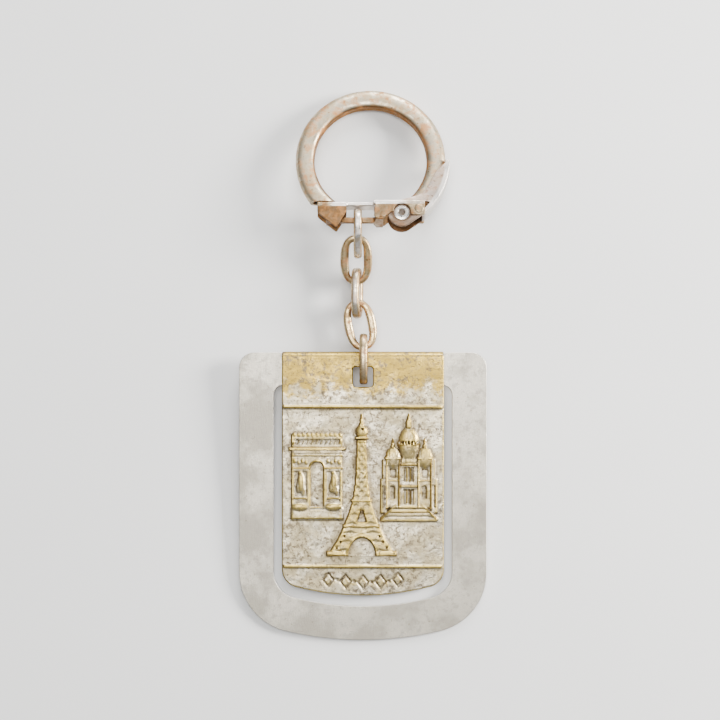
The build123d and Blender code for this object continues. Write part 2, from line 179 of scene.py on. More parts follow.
# the pictures: where each stands, and the tower's half width at each height
ARCH_X, ARCH_HALF_WIDTH = -7.62, 4.2
ARCH_FIGURE = ((0.1, 26.3, 0.62, 1.75, 0.36, 0.2), (-0.05, 28.0, 0.34, 0.42, 0.3, 0.22),
               (-0.35, 25.6, 0.42, 1.0, 0.25, 0.2), (0.5, 25.1, 0.36, 1.15, 0.22, 0.2))
TOWER_X, CHURCH_X = -0.2, 7.65
TOWER_SHAPE = ((14.2, 5.7), (15.3, 5.0), (17.0, 3.9), (19.1, 3.0), (21.2, 2.15), (23.3, 1.5), (26.5, 1.05),
               (33.4, 0.75))
BRACE_PITCH = 1.5
CHURCH_STEPS = ((0.34, 19.9, 20.7, 4.75, 4.55), (0.44, 20.6, 21.4, 4.4, 3.9), (0.54, 21.3, 22.5, 3.7, 2.6))
LOZENGES, LOZENGE_PITCH = 5, 2.9


def rounded_box(x, y, half_width, half_height, corner):
    """Distance outside a rounded box round the origin, negative inside it."""
    qx, qy = np.abs(x) - half_width + corner, np.abs(y) - half_height + corner
    return np.hypot(np.maximum(qx, 0), np.maximum(qy, 0)) + np.minimum(np.maximum(qx, qy), 0) - corner


def spaced(count, pitch):
    """Evenly spaced places about the middle."""
    return [(k - (count - 1) / 2) * pitch for k in range(count)]


class Relief:
    """Height of the embossed picture over arrays of points on the plaque's face."""

    def __init__(self, x, y):
        self.all_x, self.x, self.y = x, x, y
        self.height = np.zeros_like(x)

    def centre(self, middle):
        """Measures x from a picture's middle."""
        self.x = self.all_x - middle

    def box(self, cx, cy, half_width, half_height, corner=0.0):
        return rounded_box(self.x - cx, self.y - cy, half_width, half_height, corner)

    def disc(self, cx, cy, radius_x, radius_y=None):
        radius_y = radius_y or radius_x
        spread = np.hypot((self.x - cx) / radius_x, (self.y - cy) / radius_y)
        return (spread - 1) * min(radius_x, radius_y)

    def stroke(self, x0, y0, x1, y1, half_width):
        dx, dy = x1 - x0, y1 - y0
        along = np.clip(((self.x - x0) * dx + (self.y - y0) * dy) / (dx * dx + dy * dy), 0, 1)
        return np.hypot(self.x - x0 - along * dx, self.y - y0 - along * dy) - half_width

    def trapezoid(self, cx, foot, top, foot_half, top_half):
        share = np.clip((self.y - foot) / (top - foot), 0, 1)
        side = np.abs(self.x - cx) - (foot_half + (top_half - foot_half) * share)
        return np.maximum(side, np.maximum(foot - self.y, self.y - top))

    def arched(self, cx, foot, half_width, rise):
        straight = self.box(cx, foot + (rise - half_width) / 2, half_width, (rise - half_width) / 2)
        return np.minimum(straight, self.disc(cx, foot + rise - half_width, half_width))

    @staticmethod
    def inside(distance, soft):
        share = np.clip(0.5 - distance / soft, 0, 1)
        return share * share * (3 - 2 * share)

    def lift(self, distance, height, soft=0.22):
        """Raises a shape to a height."""
        self.height = np.maximum(self.height, height * self.inside(distance, soft))

    def add(self, distance, height, soft=0.2):
        """Adds a shape to what is there, or cuts it in where the height is negative."""
        self.height = self.height + height * self.inside(distance, soft)

    def sink(self, distance, level, soft=0.2):
        """Lowers a shape to a level."""
        share = self.inside(distance, soft)
        self.height = self.height * (1 - share) + np.minimum(self.height, level) * share

    def bulge(self, cx, cy, radius_x, radius_y, height, base):
        """Raises a rounded lump on a base."""
        round_part = 1 - ((self.x - cx) / radius_x) ** 2 - ((self.y - cy) / radius_y) ** 2
        lifted = np.where(round_part > 0, base + height * np.sqrt(np.maximum(round_part, 0)), 0)
        self.height = np.maximum(self.height, lifted)


def draw_arch(r):
    """A triumphal arch: attic with small blocks, cornice, two piers with carved groups, plinth."""
    r.centre(ARCH_X)
    half = ARCH_HALF_WIDTH
    r.lift(r.box(0, 27.2, half, 6.9), 0.34)
    r.lift(r.box(0, 33.3, half + 0.05, 1.15, 0.3), 0.44)
    r.sink(r.box(0, 33.05, half - 0.4, 0.45), 0.26)
    for at in spaced(11, 0.76):
        r.lift(r.box(at, 34.25, 0.22, 0.3, 0.1), 0.52)
        r.add(r.stroke(at - 0.12, 32.75, at + 0.16, 33.4, 0.09), 0.16, 0.14)
    r.lift(r.box(0, 31.95, half + 0.45, 0.24, 0.12), 0.72)
    for at in spaced(26, 0.31):
        r.add(r.disc(at, 31.35, 0.1), 0.1, 0.1)
    r.lift(r.box(0, 30.85, half + 0.05, 0.13), 0.46)
    for side in (-1, 1):
        pier = side * 2.75
        for k in range(4):
            r.add(r.disc(pier + (k - 1.5) * 0.62, 29.85 + 0.12 * (-1) ** k, 0.2, 0.34), 0.16, 0.2)
        r.lift(r.box(pier, 28.75, 1.5, 0.2, 0.1), 0.62)
        r.sink(r.box(pier, 25.6, 1.05, 2.6, 0.15), 0.2)
        for shift, level, *lump in ARCH_FIGURE:
            r.bulge(pier + shift, level, *lump)
        r.lift(r.box(pier, 23.75, 1.05, 0.18, 0.1), 0.55)
        r.sink(r.disc(pier + 0.35, 23.1, 0.28, 0.22), 0.18)
        r.bulge(pier - 0.1, 22.3, 1.45, 0.75, 0.42, 0.2)
    r.sink(r.arched(-0.02, 21.9, 1.05, 7.9), -0.06, 0.14)
    moulding = np.abs(r.disc(-0.02, 28.75, 1.22)) - 0.13
    r.lift(np.maximum(moulding, 28.6 - r.y), 0.56, 0.14)
    r.lift(r.box(0, 21.15, half + 0.15, 1.05, 0.1), 0.22)
    r.lift(r.box(0, 22.15, 1.2, 0.14), 0.36)


def draw_tower(r):
    """A lattice tower: splayed legs round an arch, two platforms, a slim shaft, a lookout and a spire."""
    r.centre(TOWER_X)
    half = np.interp(r.y, *zip(*TOWER_SHAPE))
    foot, top = TOWER_SHAPE[0][0], TOWER_SHAPE[-1][0]
    body = np.maximum(np.abs(r.x) - half, np.maximum(foot - r.y, r.y - top))
    crown = 0.62 + 0.16 * np.sqrt(np.clip(1 - (r.x / np.maximum(half, 0.3)) ** 2, 0, 1))
    r.height = np.maximum(r.height, crown * r.inside(body, 0.2))
    braces, cross = (
        np.abs((across / half * 0.9 + (r.y - foot) / BRACE_PITCH) % 1 - 0.5)
        for across in (r.x, -r.x)
    )
    hollow = np.clip((np.minimum(braces, cross) - 0.16) * 6, 0, 1) * r.inside(body + 0.28, 0.12)
    r.height = r.height - 0.1 * hollow
    opening = np.maximum(r.disc(0.05, 14.0, 2.45, 3.4), 14.0 - r.y)
    r.lift(np.maximum(np.abs(opening) - 0.2, foot - r.y), 0.8, 0.16)
    r.sink(opening + 0.12, 0.0, 0.16)
    r.sink(r.trapezoid(0, 19.8, 21.7, 0.8, 0.2), 0.12, 0.2)
    r.lift(r.box(0, 23.35, 1.7, 0.22, 0.12), 0.86)
    r.lift(r.box(-0.05, 19.1, 3.05, 0.24, 0.12), 0.9)
    for side in (-1, 1):
        for k in range(3):
            r.sink(r.disc(side * (2.9 + 0.62 * k), 17.4 - 0.95 * k, 0.15), 0.3, 0.1)
        r.lift(r.box(side * 4.35, 14.55, 1.45, 0.38, 0.15), 0.88)
    r.lift(r.box(0, 33.75, 1.05, 0.2, 0.1), 0.74)
    r.bulge(0, 34.75, 1.02, 1.15, 0.62, 0.25)
    r.sink(r.disc(0.12, 35.25, 0.17), 0.15, 0.1)
    r.lift(r.trapezoid(0, 35.6, 37.75, 0.42, 0.04), 0.6)


def draw_dome(r, cx, foot, radius, rise, height, ribs):
    """A ribbed dome with a small lantern on top."""
    r.bulge(cx, foot, radius, rise, height, 0.2)
    above = r.y > foot
    turn = np.arccos(np.clip((r.x - cx) / radius, -1, 1))
    groove = np.abs(np.sin(turn * ribs)) < 0.22
    r.height = r.height - 0.05 * (groove & above & (r.disc(cx, foot, radius, rise) < -0.1))
    r.lift(r.box(cx, foot, radius + 0.08, 0.17, 0.08), 0.2 + height)


def draw_church(r):
    """A domed church: stepped base, portico with arcades, two side turrets and outer walls."""
    r.centre(CHURCH_X)
    for height, *step in CHURCH_STEPS:
        r.lift(r.trapezoid(0, *step), height)
    for step in (20.65, 21.35, 21.95):
        r.sink(r.box(0, step, 3.6, 0.07), 0.3, 0.12)
    for side in (-1, 1):
        r.lift(r.box(side * 4.2, 24.1, 0.52, 2.9, 0.1), 0.3)
        r.lift(r.box(side * 3.95, 27.6, 0.42, 2.6, 0.1), 0.34)
        r.sink(r.box(side * 4.25, 24.0, 0.14, 1.9), 0.1, 0.12)
        r.lift(r.stroke(side * 2.2, 22.6, side * 4.6, 20.3, 0.16), 0.6)
        turret = side * 2.65
        r.lift(r.box(turret, 26.2, 1.25, 4.1, 0.1), 0.42)
        for at in (-1.05, 1.05):
            r.lift(r.box(turret + at, 26.2, 0.17, 4.2), 0.66)
        r.sink(r.arched(turret, 27.1, 0.5, 2.5), 0.14, 0.14)
        r.lift(r.box(turret, 26.65, 1.1, 0.16), 0.6)
        r.sink(r.arched(turret - 0.1, 23.6, 0.36, 2.2), 0.14, 0.14)
        draw_dome(r, turret, 30.35, 1.28, 1.9, 0.52, 3)
        r.lift(r.trapezoid(turret, 32.0, 33.6, 0.32, 0.05), 0.62)
    r.lift(r.box(0, 26.0, 1.5, 3.7), 0.36)
    for at in spaced(3, 0.62):
        r.sink(r.arched(at, 22.7, 0.2, 2.5), 0.02, 0.12)
        r.sink(r.arched(at, 26.4, 0.17, 2.5), 0.05, 0.12)
    r.lift(r.box(0, 25.75, 1.45, 0.2, 0.05), 0.7)
    r.lift(r.box(0, 29.35, 1.35, 0.18, 0.05), 0.66)
    r.bulge(0, 29.9, 0.9, 0.85, 0.42, 0.2)
    r.lift(r.trapezoid(0, 29.5, 32.4, 1.25, 1.6), 0.5)
    for at in spaced(5, 0.62):
        r.sink(r.box(at, 31.0, 0.15, 0.8, 0.1), 0.16, 0.12)
    draw_dome(r, 0, 32.7, 1.75, 2.85, 0.66, 4)
    for at in spaced(7, 0.5):
        r.sink(r.box(at, 32.95, 0.1, 0.26, 0.08), 0.3, 0.1)
    r.lift(r.box(0, 36.05, 0.42, 0.75, 0.2), 0.66)
    r.lift(r.trapezoid(0, 36.7, 37.75, 0.28, 0.06), 0.6)


def draw_ornament(r):
    """A row of engraved lozenges and dots along the lower edge."""
    r.centre(0)
    for k, at in enumerate(spaced(LOZENGES, LOZENGE_PITCH)):
        level = 9.7 + 0.012 * at * at
        lozenge = (np.abs(r.x - at) / 0.88 + np.abs(r.y - level) / 1.1 - 1) * 0.65
        r.add(np.abs(lozenge) - 0.13, -0.2, 0.14)
        if k < LOZENGES - 1:
            r.add(r.disc(at + LOZENGE_PITCH / 2, level + 0.05, 0.27), -0.2, 0.14)


def plaque_height(x, y):
    """Relief height over the plaque's flat face."""
    r = Relief(x, y)
    r.lift(r.stroke(-13.1, 38.98, 13.0, 38.9, 0.26), 0.42, 0.34)
    r.lift(r.stroke(-13.0, 12.42, 12.9, 12.34, 0.24), 0.34, 0.32)
    draw_arch(r)
    draw_tower(r)
    draw_church(r)
    draw_ornament(r)
    worn = 0.022 * value_noise(x, y, 1.3, 3) + 0.014 * value_noise(x, y, 0.45, 4)
    return r.height + worn + 0.05 * value_noise(x, y, 7.0, 5)


# ---- plaque mesh ----
EDGE_ROUNDING, HOLE_ROUNDING, BACK_ROUNDING = 0.25, 0.14, 0.2
FINE_STEP = 0.136
EDGE_STEPS = (0.0, 0.03, 0.07, 0.12, 0.18, 0.25)
EDGE_BAND = 0.38
HOLE_MARGIN, HOLE_SPANS = 2.1, 32
STRAIGHT_FROM = 17.0
RIM_BAND, FADE_TO_FOLD = 0.35, 1.5
CORNER_X = PLAQUE_HALF_WIDTH - PLAQUE_CORNER
ARC_Y = PLAQUE_BOTTOM + PLAQUE_BOTTOM_RADIUS
CORNER_Y = ARC_Y - sqrt((PLAQUE_BOTTOM_RADIUS - PLAQUE_CORNER) ** 2 - CORNER_X**2)
CORNER_START = CORNER_X * PLAQUE_BOTTOM_RADIUS / (PLAQUE_BOTTOM_RADIUS - PLAQUE_CORNER)


def plaque_foot(x):
    """Lower outline of the plaque."""
    side = np.abs(x)
    bow = ARC_Y - np.sqrt(PLAQUE_BOTTOM_RADIUS**2 - side**2)
    corner = CORNER_Y - np.sqrt(np.maximum(PLAQUE_CORNER**2 - (side - CORNER_X) ** 2, 0))
    return np.where(side <= CORNER_START, bow, corner)


def plaque_edge_distance(x, y):
    """Distance in from the plaque's sides and foot."""
    side = np.abs(x)
    distance = np.minimum(PLAQUE_HALF_WIDTH - side, PLAQUE_BOTTOM_RADIUS - np.hypot(x, y - ARC_Y))
    corner = PLAQUE_CORNER - np.hypot(side - CORNER_X, y - CORNER_Y)
    in_corner = (side > CORNER_X) & (y < CORNER_Y)
    return np.maximum(np.where(in_corner, np.minimum(distance, corner), distance), 0)


def hole_distance(x, y):
    """Distance out from the rounded square hole, negative inside it."""
    return rounded_box(x, y - HOLE_CENTRE, HOLE_SIZE / 2, HOLE_SIZE / 2, HOLE_CORNER)


def onto_hole_edge(x, y):
    """Nearest point on the hole's outline."""
    flat = HOLE_SIZE / 2 - HOLE_CORNER
    px, py = abs(x), abs(y - HOLE_CENTRE)
    qx, qy = px - flat, py - flat
    if qx > 0 and qy > 0:
        far = hypot(qx, qy)
        px, py = flat + qx / far * HOLE_CORNER, flat + qy / far * HOLE_CORNER
    elif qx > qy:
        px = HOLE_SIZE / 2
    else:
        py = HOLE_SIZE / 2
    return copysign(px, x), HOLE_CENTRE + copysign(py, y - HOLE_CENTRE)


def round_over(distance, radius):
    """Drop of a rounded edge at this distance in from it."""
    inset = np.clip(radius - distance, 0, radius)
    return radius - np.sqrt(np.maximum(radius**2 - inset**2, 0))


def hole_drop(x, y):
    """Drop of the rounded edge round the hole."""
    return round_over(np.maximum(hole_distance(x, y), 0), HOLE_ROUNDING)


def bent(rows, columns):
    """Rows bent to follow the curved foot, straight again well below the hole."""
    rows, foot = rows[:, None], plaque_foot(columns)
    share = (rows - PLAQUE_BOTTOM) / (STRAIGHT_FROM - PLAQUE_BOTTOM)
    return np.where(rows < STRAIGHT_FROM, foot + share * (STRAIGHT_FROM - foot), rows + 0 * foot)


def folded(turn, reach):
    """Rows of y and z round the fold, this far from its axis."""
    return FOLD_CENTRE + np.sin(turn)[:, None] * reach, SHEET / 2 + np.cos(turn)[:, None] * reach


def stand_out(height):
    """How far each point stands out of the relief around it."""
    spread = height
    for shift in (1, 2, 3):
        for axis in (0, 1):
            spread = (np.roll(spread, shift, axis) + np.roll(spread, -shift, axis) + spread) / 3
    return height - spread


def build_plaque():
    """One folded sheet: embossed front leaf, fold, back leaf and the inner faces between them."""
    inner = np.arange(-PLAQUE_HALF_WIDTH + EDGE_BAND, PLAQUE_HALF_WIDTH - 0.37, FINE_STEP)
    steps = np.array(EDGE_STEPS)
    columns = np.concatenate([steps - PLAQUE_HALF_WIDTH, inner, (PLAQUE_HALF_WIDTH - steps)[::-1]])
    hole_rows = np.linspace(HOLE_CENTRE - HOLE_MARGIN, HOLE_CENTRE + HOLE_MARGIN, HOLE_SPANS + 1)
    low_rows = np.arange(PLAQUE_BOTTOM + EDGE_BAND, hole_rows[0] - FINE_STEP / 2, FINE_STEP)
    above_hole = np.linspace(hole_rows[-1], FOLD_CENTRE, 9)[1:]
    front_rows = np.concatenate([PLAQUE_BOTTOM + steps, low_rows, hole_rows, above_hole])
    back_rows = np.concatenate([np.linspace(BACK_LEAF_BOTTOM, hole_rows[0], 9)[:-1], hole_rows, above_hole])
    inner_rows = np.concatenate([np.linspace(PLAQUE_BOTTOM, hole_rows[0], 24)[:-1], hole_rows, above_hole])

    front_y = bent(front_rows, columns)
    front_x = columns + 0 * front_y
    height = plaque_height(front_x, front_y)
    drop = round_over(plaque_edge_distance(front_x, front_y), EDGE_ROUNDING) + hole_drop(front_x, front_y)
    fade = np.clip((FOLD_CENTRE - front_y) / FADE_TO_FOLD, 0, 1)
    side_drop = round_over(PLAQUE_HALF_WIDTH - np.abs(columns), EDGE_ROUNDING)
    back_y = back_rows[::-1, None] + 0 * columns
    back_drop = round_over(back_y - BACK_LEAF_BOTTOM, BACK_ROUNDING)
    back_drop = back_drop + hole_drop(columns + 0 * back_y, back_y)
    # rows of y and z once round the section: front, fold, back, then the inner faces and the fold between
    bands = [
        (front_y, FRONT + height * fade - drop),
        folded(np.linspace(0, pi, 15)[1:-1], SHEET / 2 + BRASS - side_drop),
        (back_y, -BRASS + side_drop + back_drop),
        (back_y[::-1], 0.0),
        folded(np.linspace(pi, 0, 9)[1:-1], SHEET / 2 + 0 * columns),
        (bent(inner_rows[::-1], columns), SHEET),
    ]
    y = np.concatenate([band_y for band_y, _ in bands])
    z = np.concatenate([band_z + 0 * band_y for band_y, band_z in bands])
    x = columns + 0 * y
    starts = np.cumsum([0] + [len(band_y) for band_y, _ in bands])
    rows_total, width = y.shape
    centre_x = (columns[:-1] + columns[1:]) / 2
    centre_y = (hole_rows[:-1] + hole_rows[1:]) / 2
    gone = hole_distance(centre_x[None, :], centre_y[:, None]) < 0

    def row_of(band, k):
        """Row of the whole mesh for hole row k; bands 0 and 3 run upwards, 2 and 5 downwards."""
        if band in (0, 3):
            return starts[band + 1] - len(above_hole) - len(hole_rows) + k
        return starts[band] + len(above_hole) + HOLE_SPANS - k

    removed, walls = set(), []
    for k in range(HOLE_SPANS):
        for i in np.nonzero(gone[k])[0]:
            removed.update((min(row_of(band, k), row_of(band, k + 1)), i) for band in (0, 2, 3, 5))
            for dk, di, ends in (
                (-1, 0, ((k, i), (k, i + 1))), (1, 0, ((k + 1, i), (k + 1, i + 1))),
                (0, -1, ((k, i), (k + 1, i))), (0, 1, ((k, i + 1), (k + 1, i + 1))),
            ):
                if not gone[k + dk, i + di]:
                    walls.append(ends)
    for k, i in {end for wall in walls for end in wall}:
        for band in (0, 2, 3, 5):
            row = row_of(band, k)
            x[row, i], y[row, i] = onto_hole_edge(columns[i], hole_rows[k])
        z[row_of(0, k), i] = FRONT - HOLE_ROUNDING
        z[row_of(2, k), i] = -BRASS + HOLE_ROUNDING

    points = np.stack([x, y, z], -1).reshape(-1, 3)
    faces = []
    for row in range(rows_total):
        here, there = row * width, (row + 1) % rows_total * width
        for i in range(width - 1):
            if (row, i) not in removed:
                faces.append((here + i, here + i + 1, there + i + 1, there + i))
    for (k0, i0), (k1, i1) in walls:
        for outside, inside in ((0, 5), (2, 3)):
            faces.append(tuple(row_of(band, k) * width + i for band, k, i in (
                (outside, k0, i0), (outside, k1, i1), (inside, k1, i1), (inside, k0, i0))))
    faces.append(tuple(row * width for row in range(rows_total)))
    faces.append(tuple(row * width + width - 1 for row in reversed(range(rows_total))))
    used = np.zeros(len(points), bool)
    used[[v for f in faces for v in f]] = True
    new_index = np.cumsum(used) - 1
    faces = [tuple(int(new_index[v]) for v in f) for f in faces]
    piece = add_mesh("embossed_plaque", points[used], faces, PLATE, 50)

    rim = np.minimum(plaque_edge_distance(front_x, front_y), hole_distance(front_x, front_y))
    proud, high = np.zeros((2, rows_total, width))
    proud[: len(front_rows)] = stand_out(height) * 4 + 0.5 * np.clip(1 - rim / RIM_BAND, 0, 1)
    high[: len(front_rows)] = height
    along = (y - PLAQUE_BOTTOM) / (FOLD_CENTRE - PLAQUE_BOTTOM)
    for name, values in (("proud", proud), ("relief", high), ("along", along)):
        store(piece, name, values.reshape(-1)[used])
    return piece


# ---- steel frame ----
FRAME_LENGTH, FRAME_HALF_WIDTH = 48.0, 20.65
WINDOW_TOP = 42.5
# half width, bottom, bottom radius, corner radius, top, top corner radius
FRAME_OUTLINE = (FRAME_HALF_WIDTH, 0, 57.3, 10.1, FRAME_LENGTH, 2.5)
WINDOW_OUTLINE = (14.86, 5.7, 46.8, 4.4, WINDOW_TOP, 1.7)
BAND_NOTCH_HALF = 13.6
BAND_HOLE_HALF, BAND_HOLE_TOP = 1.85, 45.75
FRAME_ROUNDING = ((0.0, 0.3), (0.015, 0.12), (0.05, 0.035), (0.1, 0.004), (0.15, 0.0), (0.2, 0.0))
FRAME_WARP, WARP_SIZE = 0.03, 8.0


def arc(cx, cy, radius, start, end, count):
    """Points of an arc, its angles in degrees."""
    angles = np.radians(np.linspace(start, end, count))
    return [(cx + radius * cos(a), cy + radius * sin(a)) for a in angles]


def flipped(points):
    """The same points on the other side, in reverse order."""
    return [(-x, y) for x, y in reversed(points)]


def straight(start, end, count):
    """Evenly spaced points of a line without its ends."""
    shares = np.linspace(0, 1, count + 2)[1:-1]
    return [(start[0] + (end[0] - start[0]) * t, start[1] + (end[1] - start[1]) * t) for t in shares]


def panel_loop(half, bottom, bottom_radius, corner, top, top_corner, top_edge):
    """Closed outline of a panel, clockwise from the right end of its top edge."""
    cx = half - corner
    arc_y = bottom + bottom_radius
    cy = arc_y - sqrt((bottom_radius - corner) ** 2 - cx**2)
    lean = np.degrees(atan2(cy - arc_y, cx))
    foot = [(x, arc_y - sqrt(bottom_radius**2 - x**2)) for x in np.linspace(1, -1, 42)[1:-1] * cx * 1.06]
    right = arc(half - top_corner, top - top_corner, top_corner, 90, 0, 8)
    right += straight((half, top - top_corner), (half, cy), 44)
    right += arc(cx, cy, corner, 0, lean, 18)
    return right + foot + flipped(right) + top_edge


def build_frame():
    """Punched steel sheet as one tube of cross-sections round the window."""
    outer_top = [(-BAND_NOTCH_HALF - 0.02, FRAME_LENGTH)]
    outer_top += [(x, FOLD_CENTRE) for x in (-BAND_NOTCH_HALF, -9, -4, -2.1, -1.9)]
    inner_top = [(x, WINDOW_TOP) for x in (-12.9, -12.6, -9, -4, -BAND_HOLE_HALF)]
    inner_top += [(-BAND_HOLE_HALF, BAND_HOLE_TOP)]
    outer = panel_loop(*FRAME_OUTLINE, outer_top + flipped(outer_top))
    inner = panel_loop(*WINDOW_OUTLINE, inner_top + flipped(inner_top))
    points, edge_wear_and_sheen = [], []
    for (ox, oy), (ix, iy) in zip(outer, inner):
        width = hypot(ix - ox, iy - oy)
        section = [(d, SHEET - drop) for d, drop in FRAME_ROUNDING]
        section += [(width * share, SHEET) for share in (0.2, 0.4, 0.6, 0.8)]
        section += [(width - d, SHEET - drop) for d, drop in reversed(FRAME_ROUNDING)]
        section += [(width - d, drop) for d, drop in FRAME_ROUNDING[1:]]
        section += [(width / 2, 0.0)]
        section += reversed(FRAME_ROUNDING[1:])
        for d, z in section:
            x, y = ox + (ix - ox) * d / width, oy + (iy - oy) * d / width
            points.append((x, y, z))
            # share towards the edges, painted bright in the paint: worn edges and painted highlight
            edge_wear_and_sheen.append(max(0.0, 1 - min(d, width - d) / 0.25))
    points = np.array(points)
    # the sheet waves a little where the plaque doesn't cover it
    free = np.clip((np.abs(points[:, 0]) - 13.9) / 2, 0, 1) + np.clip((7.3 - points[:, 1]) / 2, 0, 1)
    lift = FRAME_WARP * np.minimum(free, 1)
    points[:, 2] += lift * value_noise(points[:, 0], points[:, 1], WARP_SIZE, 21)
    points[:, 2] += lift
    piece = add_mesh("steel_frame", points, tube_faces(len(outer), len(section), True), PLATE, 55)
    store(piece, "edge_wear_and_sheen", edge_wear_and_sheen)
    return piece


# ---- chain links ----
LINK_HALF_SIZE, OPENING_HALF_SIZE, LINK_THICKNESS = (2.7, 4.25), (1.2, 3.0), 1.4
OUTLINE_POWER, OPENING_POWER, SECTION_POWER = 0.86, 0.5, 0.7


def lean(turn, rise):
    """Unit vector at turn degrees left of +Y, raised by rise degrees."""
    turn, rise = radians(turn), radians(rise)
    return Vector((-sin(turn) * cos(rise), cos(turn) * cos(rise), sin(rise)))


link_5_centre = (PLATE @ Vector((0.1, 46.9, SHEET / 2))) / MM
LINKS = (
    ("chain_link_1", "link_1", (-0.85, 21.46, 5.42), lean(0, 26), Vector((1, 0, 0)), 1.0),
    ("chain_link_2", "link_2", (-1.1, 17.285, 3.85), lean(0, 16), lean(180, 74), 0.98),
    ("chain_link_3", "link_3", (-0.95, 11.75, 2.8), lean(0, 0), lean(-90, 9), 0.93),
    ("chain_link_4", "link_4", (-0.45, 6.4, 2.9), lean(11, 0), Vector((0, 0, 1)), 0.96),
    ("chain_link_5", "link_5", link_5_centre, lean(0, 3.2), Vector((1, 0, 0)), 0.85),
)


def rounded_power(angle, exponent):
    """Cosine and sine of an angle, squared off by an exponent below 1."""
    c, s = cos(angle), sin(angle)
    return copysign(abs(c) ** exponent, c), copysign(abs(s) ** exponent, s)


def build_link(name, seed, centre, long_axis, facing, worn):
    """Punched oval link with flat faces and soft edges, a little uneven like a worn one."""
    stations, around = 96, 24
    random = np.random.default_rng(seed)
    phase = random.uniform(0, 2 * pi, 3)
    points, edge_wear_and_sheen = [], []
    for i in range(stations):
        turn = 2 * pi * i / stations
        outer = Vector(rounded_power(turn, OUTLINE_POWER)) * Vector(LINK_HALF_SIZE)
        inner = Vector(rounded_power(turn, OPENING_POWER)) * Vector(OPENING_HALF_SIZE)
        middle, half = (outer + inner) / 2, (outer - inner) / 2
        thick = LINK_THICKNESS / 2 * (0.97 + 0.03 * sin(3 * turn + phase[0]))
        wide = 0.99 - 0.01 * sin(2 * turn + phase[1])
        for j in range(around):
            across, up = rounded_power(2 * pi * j / around, SECTION_POWER)
            points.append((*(middle + half * across * wide), up * thick))
            # edge share, painted bright in the paint as rubbed edges and painted highlight
            edge_wear_and_sheen.append(abs(across) * worn)
    place = plane_matrix(centre, long_axis.cross(facing), facing)
    piece = add_mesh(name + "_oval", points, tube_faces(stations, around, True), place)
    store(piece, "edge_wear_and_sheen", edge_wear_and_sheen)
    return piece


# ---- key ring ----
RING_RADIUS = 10.9
TUBE_RADIAL, TUBE_DEPTH, TUBE_WALL = 1.6, 1.3, 0.42
TUBE_POWER, SEAM_DEPTH, SEAM_SHARE = 0.72, 0.3, 0.07
RING_RIGHT_END, TUBE_START, BORE_START = -61.7, -56.2, 195
RING_LEFT_CUT = 7.4
EYELET = (RING_RADIUS * cos(radians(RING_RIGHT_END)), RING_RADIUS * sin(radians(RING_RIGHT_END)))
TURNS = 56
EYE_PROFILE = ((1.62, 0.95), (1.62, 1.1), (1.5, 1.22), (1.3, 1.28), (0.92, 1.28), (0.92, 0.9))


def ring_strip(scale_radial, scale_depth, start, stations, around, groove):
    """Tube of the ring from an angle on to the level cut at its left end."""
    points = []
    for i in range(stations):
        share = i / (stations - 1)
        for j in range(around):
            a = 2 * pi * j / around
            off, depth = rounded_power(a, TUBE_POWER)
            seam = groove * max(0.0, 1 - abs(((a / pi) % 2) - 1) / SEAM_SHARE)
            radius = RING_RADIUS + off * scale_radial + seam
            end = 180 + np.degrees(np.arcsin(RING_LEFT_CUT / radius))
            angle = start + (end - start) * share
            dent = 1 + 0.006 * sin(radians(angle * 5)) + 0.004 * sin(radians(angle * 13 + 40))
            radius = RING_RADIUS + (radius - RING_RADIUS) * dent
            points.append((radius * cos(radians(angle)), radius * sin(radians(angle)), depth * scale_depth))
    return points


def build_ring():
    """Rolled tube bent to a ring: seam inside, open hollow left end, eye on the eyelet at the right."""
    around, stations, bore_stations = 40, 220, 24
    outside = ring_strip(TUBE_RADIAL, TUBE_DEPTH, TUBE_START, stations, around, SEAM_DEPTH)
    bore = ring_strip(TUBE_RADIAL - TUBE_WALL, TUBE_DEPTH - TUBE_WALL, BORE_START, bore_stations, around, 0)
    faces = tube_faces(stations, around, False)
    base = len(outside)
    faces += [tuple(base + v for v in f) for f in tube_faces(bore_stations, around, False)]
    last, inner_last = (stations - 1) * around, base + (bore_stations - 1) * around
    for j in range(around):
        m = (j + 1) % around
        faces.append((last + j, last + m, inner_last + m, inner_last + j))
    faces.append(tuple(reversed(range(around))))
    faces.append(tuple(base + j for j in range(around)))
    tube = add_mesh("ring_tube", outside + bore, faces, RING, 45)
    return join("key_ring", [tube, turned("ring_eye", EYELET, both_sides(EYE_PROFILE), TURNS)])


def both_sides(profile):
    """Closed loop from a profile whose second number is the depth, mirrored to the other side."""
    return list(profile) + [(r, -w) for r, w in reversed(profile)]


def turned(name, centre, section, turns, closed=True):
    """Section turned about the ring plane's normal; an open one starts and ends on the axis."""
    points = []
    for i in range(turns):
        a = 2 * pi * i / turns
        points += [(centre[0] + r * cos(a), centre[1] + r * sin(a), w) for r, w in section]
    faces = tube_faces(turns, len(section), True, closed)
    return add_mesh(name, points, faces, RING, 40, None if closed else 0.001)


# ---- catch: stamped sheet parts ----
def stamped(name, outline, thickness, bevel, place, holes=()):
    """Stamped sheet with rounded edges: a filled outline with holes, centred on its middle plane."""
    curve = bpy.data.curves.new(name, "CURVE")
    curve.dimensions = "2D"
    curve.fill_mode = "BOTH"
    curve.extrude = thickness / 2 - bevel
    curve.bevel_depth = bevel
    curve.bevel_resolution = 2
    curve.offset = -bevel
    for loop in [outline] + list(holes):
        spline = curve.splines.new("POLY")
        spline.points.add(len(loop) - 1)
        for point, (x, y) in zip(spline.points, loop):
            point.co = (x, y, 0, 1)
        spline.use_cyclic_u = True
    holder = add_object(name, curve)
    bpy.context.view_layer.update()
    mesh = bpy.data.meshes.new_from_object(holder.evaluated_get(bpy.context.evaluated_depsgraph_get()))
    bpy.data.objects.remove(holder)
    mesh.transform(place)
    return add_smooth(name, mesh, 35, 0.002)


